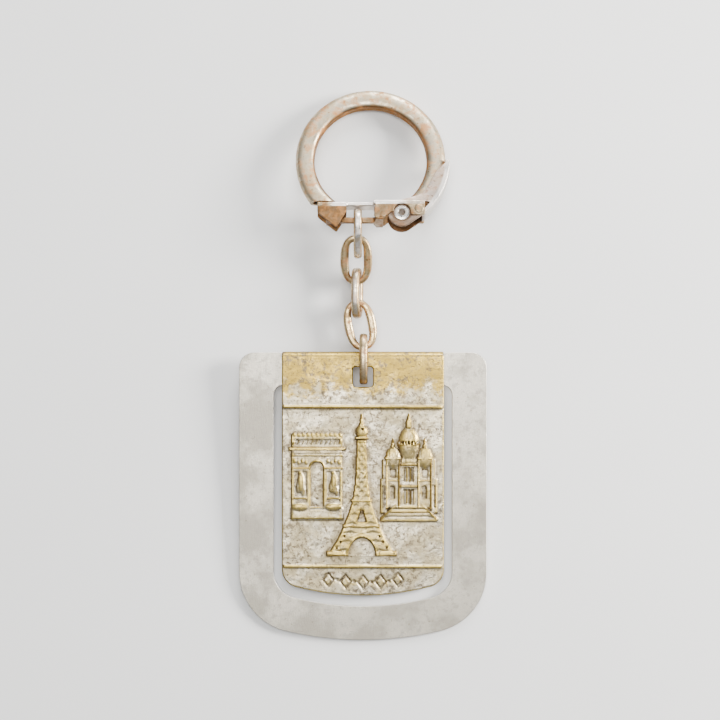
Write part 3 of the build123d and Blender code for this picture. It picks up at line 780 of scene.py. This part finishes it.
def at_depth(w):
    """Ring plane shifted to this depth."""
    return RING @ Matrix.Translation((0, 0, w))


def run_place(v):
    """Plane of a straight run: its own X along the ring plane's X, its own Y along the depth."""
    return RING @ Matrix.Translation((0, v, 0)) @ Matrix.Rotation(pi / 2, 4, "X")


def softened(corners, radius, count=5):
    """Closed polygon with its corners rounded."""
    loop = []
    for k, corner in enumerate(corners):
        corner = Vector(corner)
        back, ahead = Vector(corners[k - 1]) - corner, Vector(corners[(k + 1) % len(corners)]) - corner
        trim = min(radius, back.length * 0.45, ahead.length * 0.45)
        start, end = corner + back.normalized() * trim, corner + ahead.normalized() * trim
        for t in np.linspace(0, 1, count):
            loop.append(tuple(start * (1 - t) ** 2 + corner * 2 * t * (1 - t) + end * t**2))
    return loop


LEVER_RADIUS, LEVER_SPINE, LEVER_ROUNDING = 13.3, 0.45, 0.38
LEVER_FLAT = 0.7
LEVER_TOP, LEVER_FOOT = -1.0, -50.0
LEVER_MIDDLE, LEVER_SHEET, LEVER_BEVEL = 1.55, 0.4, 0.09
LEVER_EAR_RADIUS, EYELET_HOLE_RADIUS = 2.34, 0.86
LEVER_INNER_EDGE = [(6.6, -6.95), (7.8, -6.55), (8.6, -6.1), (9.25, -5.35), (9.8, -4.4), (10.25, -3.4),
                    (10.8, -2.5), (11.5, -1.7), (12.2, -1.0), (12.85, -0.45)]
LEVER_WINDOW = ((8.8, -7.6), (8.8, -9.25), (9.15, -9.15), (10.1, -7.8))
TOOLING_HOLE, TOOLING_HOLE_RADIUS = (10.95, -7.0), 0.28
RIVET = (8.0, -9.1)


def build_lever():
    """Folded channel: two cheeks with ears and the spine bent between them."""
    ear = arc(*EYELET, LEVER_EAR_RADIUS, -60, -236, 36)
    crest = arc(0, 0, LEVER_RADIUS - 0.12, LEVER_TOP, LEVER_FOOT, 30)
    outline = crest + ear + LEVER_INNER_EDGE
    front_holes = [
        arc(*EYELET, EYELET_HOLE_RADIUS, 0, 345, 24), arc(*TOOLING_HOLE, TOOLING_HOLE_RADIUS, 0, 330, 12),
        softened(LEVER_WINDOW, 0.25),
    ]
    cheeks = [
        stamped(name, outline, LEVER_SHEET, LEVER_BEVEL, at_depth(side * LEVER_MIDDLE), holes)
        for name, holes, side in (("front_cheek", front_holes, 1), ("rear_cheek", front_holes[:1], -1))
    ]
    outside = LEVER_MIDDLE + LEVER_SHEET / 2
    inner_face, outer_face = outside - LEVER_SHEET - 0.01, outside + 0.01
    section = [(LEVER_RADIUS - LEVER_SPINE, inner_face), (LEVER_RADIUS - LEVER_FLAT, inner_face),
               (LEVER_RADIUS - LEVER_FLAT, outer_face)]
    section += [(LEVER_RADIUS - LEVER_ROUNDING + LEVER_ROUNDING * sin(t),
                 outer_face - LEVER_ROUNDING + LEVER_ROUNDING * cos(t)) for t in np.linspace(0, pi / 2, 7)]
    section = both_sides(section)
    stations = 40
    points = []
    for i in range(stations):
        angle = radians(LEVER_TOP + (LEVER_FOOT - LEVER_TOP) * i / (stations - 1))
        taper = 0.25 * max(0.0, 1 - i / 5) ** 2
        points += [((r - taper) * cos(angle), (r - taper) * sin(angle), w) for r, w in section]
    faces = tube_faces(stations, len(section), False)
    faces += [tuple(range(len(section))), tuple(reversed(range(len(points) - len(section), len(points))))]
    return join("catch_lever_sheet", cheeks + [add_mesh("lever_spine", points, faces, RING, 40)])


GATE_LEFT, GATE_RIGHT = -8.83, 2.1
POINT_RIGHT, FORK_LEFT, FORK_RIGHT, GATE_FOLD = -4.0, 0.5, 8.95, -8.05
UPPER_RUN, UPPER_RUN_SHEET = -7.925, 0.65
LOWER_RUN, LOWER_RUN_SHEET = -10.45, 0.9
POINT_DEPTH, POINT_SHEET = 1.2, 0.4
FORK_DEPTH, FORK_SHEET = 2.225, 0.35
FORK_ARCH_RADIUS, RIVET_HOLE_RADIUS = 1.42, 0.55
EYELET_PROFILE = ((0.55, 1.5), (0.57, 1.78), (0.68, 1.89), (0.9, 1.9), (1.12, 1.87), (1.27, 1.83),
                  (1.3, 1.77), (0.86, 1.755))
RIVET_PROFILE = ((0.0, 1.36), (0.49, 1.36), (0.49, 2.4), (0.72, 2.41), (0.75, 2.45), (0.66, 2.51),
                 (0.4, 2.54), (0.0, 2.55))


def build_gate():
    """Folded catch bar: upper run, lower run, pointed cheeks on the left, fork on the right."""
    upper = both_sides([(GATE_LEFT, -1.43), (-3.95, -1.43), (-3.8, -1.3), (0.4, -1.3), (0.7, -2.0)])
    rail = [(FORK_LEFT, 1.95), (FORK_RIGHT, 1.95), (FORK_RIGHT, 2.43), (FORK_LEFT, 2.43)]
    lower = both_sides([(-7.4, -1.35), (-5.3, -1.35), (-4.9, -0.45), (0.6, -0.45), (0.9, -2.3),
                        (GATE_RIGHT, -2.3)])
    lip = ((-8.75, -8.2), (-8.2, -8.2), (-8.2, -6.75), (-8.75, -6.75))
    pointed = softened(((GATE_LEFT, GATE_FOLD), (POINT_RIGHT, GATE_FOLD), (POINT_RIGHT, -9.3),
                        (-5.67, -12.1), (GATE_LEFT, -9.46)), 0.35)
    fork = softened(((FORK_LEFT, GATE_FOLD), (FORK_RIGHT, GATE_FOLD), (FORK_RIGHT, -10.2), (7, -10.2)), 0.3)
    fork = (fork[2:] + arc(*EYELET, FORK_ARCH_RADIUS, 0, 180, 20)
            + [(3.3, -9.75), (2.3, -10.6), (0.85, -10.66), (0.52, -10.4)] + fork[:2])
    rivet_hole = arc(*RIVET, RIVET_HOLE_RADIUS, 0, 345, 20)
    parts = [stamped("upper_run", softened(upper, 0.15), UPPER_RUN_SHEET, 0.2, run_place(UPPER_RUN))]
    for side in (1, -1):
        one = softened([(u, side * w) for u, w in rail], 0.12)
        parts.append(stamped("fork_rail", one, UPPER_RUN_SHEET, 0.2, run_place(UPPER_RUN)))
    parts += [
        stamped("lower_run", softened(lower, 0.25), LOWER_RUN_SHEET, 0.12, run_place(LOWER_RUN)),
        stamped("lip", softened(lip, 0.15), 0.9, 0.08, at_depth(0)),
    ]
    for side in (1, -1):
        parts += [
            stamped("pointed_cheek", pointed, POINT_SHEET, 0.1, at_depth(side * POINT_DEPTH)),
            stamped("fork_cheek", fork, FORK_SHEET, 0.09, at_depth(side * FORK_DEPTH), [rivet_hole]),
        ]
    return join("gate_sheet", parts)


def build_rivets():
    """Two short rivets with low domed heads."""
    profiles = [[(r, side * w) for r, w in RIVET_PROFILE] for side in (1, -1)]
    return join("domed_rivets", [turned("rivet", RIVET, one, 32, closed=False) for one in profiles])


# ---- materials ----
BRIGHT, FRAME_BRIGHT = (0.84, 0.81, 0.76), (0.86, 0.83, 0.77)


class Paint:
    """Node tree of one metal, with short calls for the nodes that the recipes below share."""

    def __init__(self, name, metallic=1.0):
        self.material = bpy.data.materials.new(name)
        self.material.use_nodes = True
        self.tree = self.material.node_tree
        self.shader = self.tree.nodes["Principled BSDF"]
        self.link(metallic, self.shader.inputs["Metallic"])
        self.spot = self.add("TexCoord").outputs["Object"]

    def link(self, source, socket):
        """Connects an output, or sets a plain number or colour on the socket."""
        if isinstance(source, bpy.types.NodeSocket):
            self.tree.links.new(source, socket)
        else:
            socket.default_value = (*source, 1.0) if socket.type == "RGBA" else source

    def add(self, kind, inputs=None):
        """New shader node with its inputs linked or set."""
        node = self.tree.nodes.new("ShaderNode" + kind)
        for key, source in (inputs or {}).items():
            self.link(source, node.inputs[key])
        return node

    def noise(self, per_mm, detail=3.0, rough=0.55, warp=0.0, stretch=(1, 1, 1)):
        """Noise from 0 to 1 with this many blobs to the millimetre."""
        place = self.add("Mapping", {"Vector": self.spot, "Scale": [per_mm / MM * s for s in stretch]})
        return self.add("TexNoise", {"Vector": place.outputs["Vector"], "Scale": 1.0, "Detail": detail,
                                     "Roughness": rough, "Distortion": warp}).outputs["Fac"]

    def attribute(self, name):
        """A value stored on the mesh."""
        node = self.add("Attribute")
        node.attribute_name = name
        return node.outputs["Fac"]

    def ramp(self, value, low, high, start=0.0, end=1.0):
        """Smooth step of a value from low to high, mapped to start and end."""
        node = self.add("MapRange", {"Value": value, "From Min": low, "From Max": high,
                                     "To Min": start, "To Max": end})
        node.interpolation_type = "SMOOTHSTEP"
        return node.outputs["Result"]

    def math(self, operation, a, b):
        """Sum, product and the like of two numbers; a sum stops at 1."""
        node = self.add("Math", {0: a, 1: b})
        node.operation = operation
        node.use_clamp = operation == "ADD"
        return node.outputs[0]

    def plus(self, a, b):
        return self.math("ADD", a, b)

    def times(self, a, b):
        return self.math("MULTIPLY", a, b)

    def mix(self, factor, a, b):
        """Colour a where the factor is 0, colour b where it is 1."""
        node = self.add("Mix", {"Factor": factor, 6: a, 7: b})
        node.data_type = "RGBA"
        return node.outputs[2]

    def coat(self, cover, tint):
        """Another colour over what is there, as far as the cover says."""
        self.colour = self.mix(cover, self.colour, tint)

    def measure(self, operation, vector, other=(0, 0, 0)):
        """Number that an operation makes of one or two vectors."""
        node = self.add("VectorMath", {0: vector, 1: other})
        node.operation = operation
        return node.outputs["Value"]

    def place(self, what):
        """Millimetres along the ring plane's X (0), Y (1) or depth (2), or away from the ring's centre or
        the eyelet's axis.
        """
        if what == "radius":
            return self.math("DIVIDE", self.measure("DISTANCE", self.spot, RING.translation), MM)
        if what == "eyelet":
            away = {axis: self.math("SUBTRACT", self.place(axis), EYELET[axis]) for axis in (0, 1)}
            return self.measure("LENGTH", self.add("CombineXYZ", away).outputs["Vector"])
        direction = RING.to_3x3().col[what].normalized()
        along = self.measure("DOT_PRODUCT", self.spot, direction / MM)
        return self.math("SUBTRACT", along, direction.dot(RING.translation) / MM)

    def zone(self, *steps):
        """Product of smooth steps, each with its place, its limits and the values there."""
        return reduce(self.times, [self.ramp(self.place(what), *limits) for what, *limits in steps])

    def crease(self, reach):
        """Occlusion: 0 in the open, towards 1 in tight corners within this reach in millimetres."""
        node = self.add("AmbientOcclusion", {"Distance": reach * MM})
        node.samples = 8
        return self.math("SUBTRACT", 1.0, node.outputs["AO"])

    def side(self, *way):
        """How far a surface faces this way, from -1 to 1."""
        normal = self.add("NewGeometry").outputs["Normal"]
        return self.measure("DOT_PRODUCT", normal, Vector(way).normalized())

    def finish(self, roughness, height=None, bump=0.2):
        """Gives the shader its colour, roughness and bump, and returns the material."""
        self.link(self.colour, self.shader.inputs["Base Color"])
        self.link(roughness, self.shader.inputs["Roughness"])
        if height is not None:
            node = self.add("Bump", {"Strength": bump, "Distance": 0.1 * MM, "Height": height})
            self.link(node.outputs["Normal"], self.shader.inputs["Normal"])
        return self.material


def frame_steel():
    """Satin sheet steel: soft warm mottling, thin bright edges (worn, and painted highlight), faint stains
    and scratches.
    """
    paint = Paint("satin_steel_paint")
    cloudy = paint.ramp(paint.noise(0.16, 4), 0.38, 0.62)
    paint.colour = paint.mix(cloudy, (0.37, 0.34, 0.275), (0.54, 0.50, 0.415))
    spots = paint.ramp(paint.noise(0.9, 5, 0.68), 0.5, 0.64, 0.0, 0.7)
    paint.coat(spots, (0.34, 0.31, 0.26))
    grain = paint.noise(4.5, 3, 0.7)
    paint.coat(paint.ramp(grain, 0.3, 0.75, 0.0, 0.35), (0.36, 0.335, 0.295))
    pits = paint.ramp(paint.noise(2.2, 4, 0.6), 0.63, 0.72, 0.0, 0.65)
    paint.coat(pits, (0.20, 0.16, 0.11))
    # painted highlight: all the rounded edges are coloured bright, together with worn metal
    edge = paint.ramp(paint.attribute("edge_wear_and_sheen"), 0.45, 0.95, 0.0, 0.85)
    paint.coat(edge, FRAME_BRIGHT)
    rough = paint.plus(paint.ramp(cloudy, 0.0, 1.0, 0.42, 0.32), paint.ramp(grain, 0.3, 0.7, 0.0, 0.14))
    scratches = paint.noise(2.4, 2, 0.5, 0.0, (3.0, 0.35, 1.0))
    height = paint.plus(grain, paint.ramp(scratches, 0.35, 0.65, 0.0, 0.4))
    return paint.finish(rough, height, 0.22)


def plaque_brass():
    """Worn silvering over brass: brass shows on proud edges, dirt sits in the creases and pits, and painted
    shade darkens slopes that face left.
    """
    paint = Paint("worn_brass_paint")
    cloudy = paint.ramp(paint.noise(0.35, 4, 0.6), 0.36, 0.64)
    paint.colour = paint.mix(cloudy, (0.43, 0.36, 0.215), (0.58, 0.515, 0.38))
    along = paint.attribute("along")
    wander = paint.ramp(paint.noise(0.5, 5, 0.65), 0.3, 0.7, -0.05, 0.05)
    band = paint.ramp(paint.plus(along, wander), 0.83, 0.9)
    paint.coat(paint.times(band, 0.94), (0.41, 0.275, 0.045))
    speckle = paint.ramp(paint.noise(1.5, 6, 0.72, 0.3), 0.49, 0.57, 0.0, 0.88)
    patches = paint.ramp(paint.noise(0.28, 3), 0.40, 0.56, 0.25, 1.0)
    paint.coat(paint.times(speckle, patches), (0.16, 0.125, 0.08))
    proud = paint.attribute("proud")
    worn = paint.ramp(proud, 0.08, 0.4, 0.0, 0.8)
    paint.coat(worn, (0.59, 0.43, 0.10))
    lifted = paint.ramp(paint.attribute("relief"), 0.2, 0.6, 0.0, 0.6)
    paint.coat(lifted, (0.50, 0.36, 0.10))
    cracks = paint.ramp(paint.crease(0.8), 0.25, 0.75, 0.0, 0.34)
    creases = paint.plus(paint.ramp(proud, -0.1, -0.55, 0.0, 0.32), cracks)
    # painted shade: slopes that face left, away from the light, are coloured dark like the creases
    shaded = paint.ramp(paint.side(-1.0, -0.15, 0.0), 0.2, 0.75, 0.0, 0.8)
    grime_and_shade = paint.plus(creases, shaded)
    paint.coat(grime_and_shade, (0.19, 0.135, 0.06))
    pits = paint.ramp(paint.noise(2.6, 4, 0.6), 0.58, 0.66, 0.0, 0.75)
    paint.coat(pits, (0.13, 0.095, 0.06))
    rough = paint.plus(paint.ramp(cloudy, 0.0, 1.0, 0.44, 0.3), paint.times(grime_and_shade, 0.3))
    height = paint.math("SUBTRACT", paint.noise(1.9, 6, 0.7), pits)
    return paint.finish(rough, height, 0.42)


def rusty_metal(name, plating, tarnish, rust, amount, shine, bump=0.25, scale=0.5, darkening=None, rub_and_highlight=None):
    """Worn plating: tarnish clouds, soft rust patches, dirt in creases; one optional mask adds a dark rust
    brown (dirt, rust and painted shade), another adds a bright colour (rubbed metal and painted highlight)."""
    paint = Paint(name)
    clouds = paint.ramp(paint.noise(scale, 5, 0.62, 0.4), 0.34, 0.66)
    paint.colour = paint.mix(clouds, tarnish, plating)
    grain = paint.noise(3.2, 4, 0.7)
    paint.coat(paint.ramp(grain, 0.45, 0.75, 0.0, 0.45), tarnish)
    patch_noise = paint.noise(scale * 1.3, 6, 0.68, 0.4)
    patches = paint.ramp(patch_noise, 0.60 - amount * 0.35, 0.80 - amount * 0.35, 0.0, 0.8)
    creases = paint.ramp(paint.crease(1.2), 0.25, 0.75, 0.0, 0.85)
    rusted = paint.math("MAXIMUM", patches, creases)
    paint.coat(rusted, rust)
    dark = [share * 0.4 for share in rust]
    if darkening:
        # dark colour for the optional mask: dirt, rust and painted shade
        grime_and_shade = paint.mix(patches, dark, [share * 0.9 for share in rust])
        paint.coat(darkening(paint), grime_and_shade)
    flecks = paint.ramp(paint.noise(2.3, 3, 0.5), 0.64, 0.7, 0.0, 0.8)
    paint.coat(flecks, dark)
    if rub_and_highlight:
        # bright colour for the optional mask: rubbed metal and painted highlight
        paint.coat(rub_and_highlight(paint), BRIGHT)
    rough = paint.plus(paint.ramp(clouds, 0.0, 1.0, shine + 0.14, shine), paint.times(rusted, 0.3))
    height = paint.plus(paint.times(grain, 0.4), patch_noise)
    paint.link(paint.ramp(rusted, 0.2, 0.9, 1.0, 0.65), paint.shader.inputs["Metallic"])
    return paint.finish(rough, height, bump)


def ring_inner_darkening(paint):
    """Darker brown on the ring's inner side."""
    return paint.zone(("radius", RING_RADIUS - 1.0, RING_RADIUS - 1.35, 0.0, 0.85))


def lever_grime_and_shade(paint):
    """Painted shade inside the channel between the cheeks; dirt round the eyelet and on the ears below it.
    """
    # painted shade: the inner faces between the cheeks
    inside = paint.zone((2, 1.34, 1.28), (2, -1.6, -1.45))
    below, seat = paint.zone((1, -9.9, -11.2, 0.0, 0.7)), paint.zone(("eyelet", 2.1, 1.5, 0.0, 0.85))
    return paint.math("MAXIMUM", inside, paint.math("MAXIMUM", below, seat))


def lever_rub_and_highlight(paint):
    """Bright band along the spine's rounded outer edge: painted highlight, and rubbed by thumbs."""
    return paint.zone(("radius", LEVER_RADIUS - 0.85, LEVER_RADIUS - 0.5, 0.0, 0.65), (0, 8.4, 9.4))


def link_rub_and_highlight(paint):
    """Bright inner and outer edges: worn where the links rub on each other and on pockets, and painted
    highlight.
    """
    edge = paint.ramp(paint.attribute("edge_wear_and_sheen"), 0.80, 1.0)
    return paint.times(edge, paint.ramp(paint.noise(0.8, 4, 0.6), 0.36, 0.52, 0.25, 0.8))


def gate_rust_and_shade(paint):
    """Rust on the pointed cheeks, and painted shade on the lower run and the fork cheek's left part below
    the fold.
    """
    return paint.zone((1, -8.3, -8.5), (0, -3.4, -3.8, 0.45, 0.78), (0, 5.0, 3.8))


def gate_fold_highlight(paint):
    """Painted highlight along the rounded upper fold."""
    return paint.zone((1, -8.4, -8.25, 0.0, 0.75), (0, -7.0, -5.8), (0, 6.3, 5.0, 0.35, 1.0))


# ---- assembly ----
steel = frame_steel()
brass = plaque_brass()
chain_metal = rusty_metal("chain_steel_paint", (0.64, 0.49, 0.27), (0.33, 0.23, 0.11), (0.31, 0.12, 0.04),
                          0.42, 0.26, scale=0.6, rub_and_highlight=link_rub_and_highlight)
ring_metal = rusty_metal("ring_nickel_paint", (0.58, 0.51, 0.38), (0.37, 0.29, 0.18), (0.42, 0.18, 0.05),
                         0.42, 0.32, darkening=ring_inner_darkening)
lever_metal = rusty_metal("lever_nickel_paint", (0.52, 0.43, 0.36), (0.34, 0.25, 0.18), (0.20, 0.10, 0.045),
                          0.3, 0.32, 0.1, darkening=lever_grime_and_shade, rub_and_highlight=lever_rub_and_highlight)
gate_metal = rusty_metal("gate_steel_paint", (0.40, 0.32, 0.20), (0.17, 0.12, 0.065), (0.34, 0.15, 0.045),
                         0.4, 0.32, 0.3, scale=0.9, darkening=gate_rust_and_shade, rub_and_highlight=gate_fold_highlight)
eyelet_metal = rusty_metal("eyelet_nickel_paint", (0.86, 0.85, 0.82), (0.62, 0.58, 0.52),
                           (0.28, 0.17, 0.10), 0.06, 0.2, 0.06)

finish_piece(build_plaque(), "plate", ("plaque",), brass)

frame_piece = build_frame()
frame_piece.data.materials.append(steel)
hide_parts("frame_band", "frame_loop")
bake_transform(frame_piece)

for seed, (node, body, *shape) in enumerate(LINKS):
    finish_piece(build_link(node, seed, *shape), body, (node,), chain_metal)
finish_piece(build_ring(), "ring", ("ring_bow",), ring_metal)
finish_piece(build_lever(), "catch_lever", ("lever",), lever_metal)
finish_piece(build_gate(), "gate", ("gate_bar",), gate_metal)
eyelet = turned("rolled_eyelet", EYELET, both_sides(EYELET_PROFILE), TURNS)
finish_piece(eyelet, "catch_lever", ("hinge_eyelet",), eyelet_metal)
finish_piece(build_rivets(), "catch_lever", ("gate_rivets",), gate_metal)


# ---- floor, light and camera: metres from here on ----
TABLE_HALF = 0.6


def make_floor():
    """Plain pale table top under the object."""
    low = cad_box[0][2]
    mesh = bpy.data.meshes.new("table_top")
    corners = [(sx * TABLE_HALF, sy * TABLE_HALF, low) for sx, sy in ((-1, -1), (1, -1), (1, 1), (-1, 1))]
    mesh.from_pydata(corners, [], [(0, 1, 2, 3)])
    table = add_object("table_top", mesh)
    paint = Paint("table_paint", 0.0)
    cloudy = paint.ramp(paint.noise(0.02, 2), 0.3, 0.7)
    paint.colour = paint.mix(cloudy, (0.74, 0.735, 0.72), (0.76, 0.755, 0.74))
    mesh.materials.append(paint.finish(0.75))


def looking(name, data, place, away):
    """Puts a light or camera in place, turned against the direction in which it is away."""
    holder = add_object(name, data)
    holder.location = place
    holder.rotation_euler = (-away).to_track_quat("-Z", "Y").to_euler()
    return holder


def soft_light(name, place, size, power, colour):
    """Square area light that looks at the object."""
    lamp = bpy.data.lights.new(name, "AREA")
    lamp.size = size
    lamp.energy = power
    lamp.color = colour
    looking(name, lamp, place, Vector(place))


def make_camera(target, distance, elevation, lens):
    """Camera that looks at the target from this far and high."""
    camera = bpy.data.cameras.new("photo_camera")
    camera.lens = lens
    camera.clip_start = 0.005
    away = Vector((0, -cos(radians(elevation)), sin(radians(elevation))))
    bpy.context.scene.camera = looking("photo_camera", camera, Vector(target) + away * distance, away)


make_floor()
soft_light("window_light", (0.36, 0.08, 0.17), 0.14, 5.0, (1.0, 0.985, 0.96))
soft_light("sky_light", (0.08, 0.46, 0.22), 0.26, 4.5, (0.97, 0.98, 1.0))
soft_light("overhead_light", (-0.03, 0.06, 0.50), 0.24, 2.2, (1.0, 0.99, 0.97))
world = bpy.data.worlds.new("soft_studio")
world.use_nodes = True
world.node_tree.nodes["Background"].inputs["Color"].default_value = (0.92, 0.95, 1.0, 1.0)
world.node_tree.nodes["Background"].inputs["Strength"].default_value = 0.45
bpy.context.scene.world = world
make_camera((-0.00048, 0.00059, 0.0025), 0.400, 87.0, 119.8)
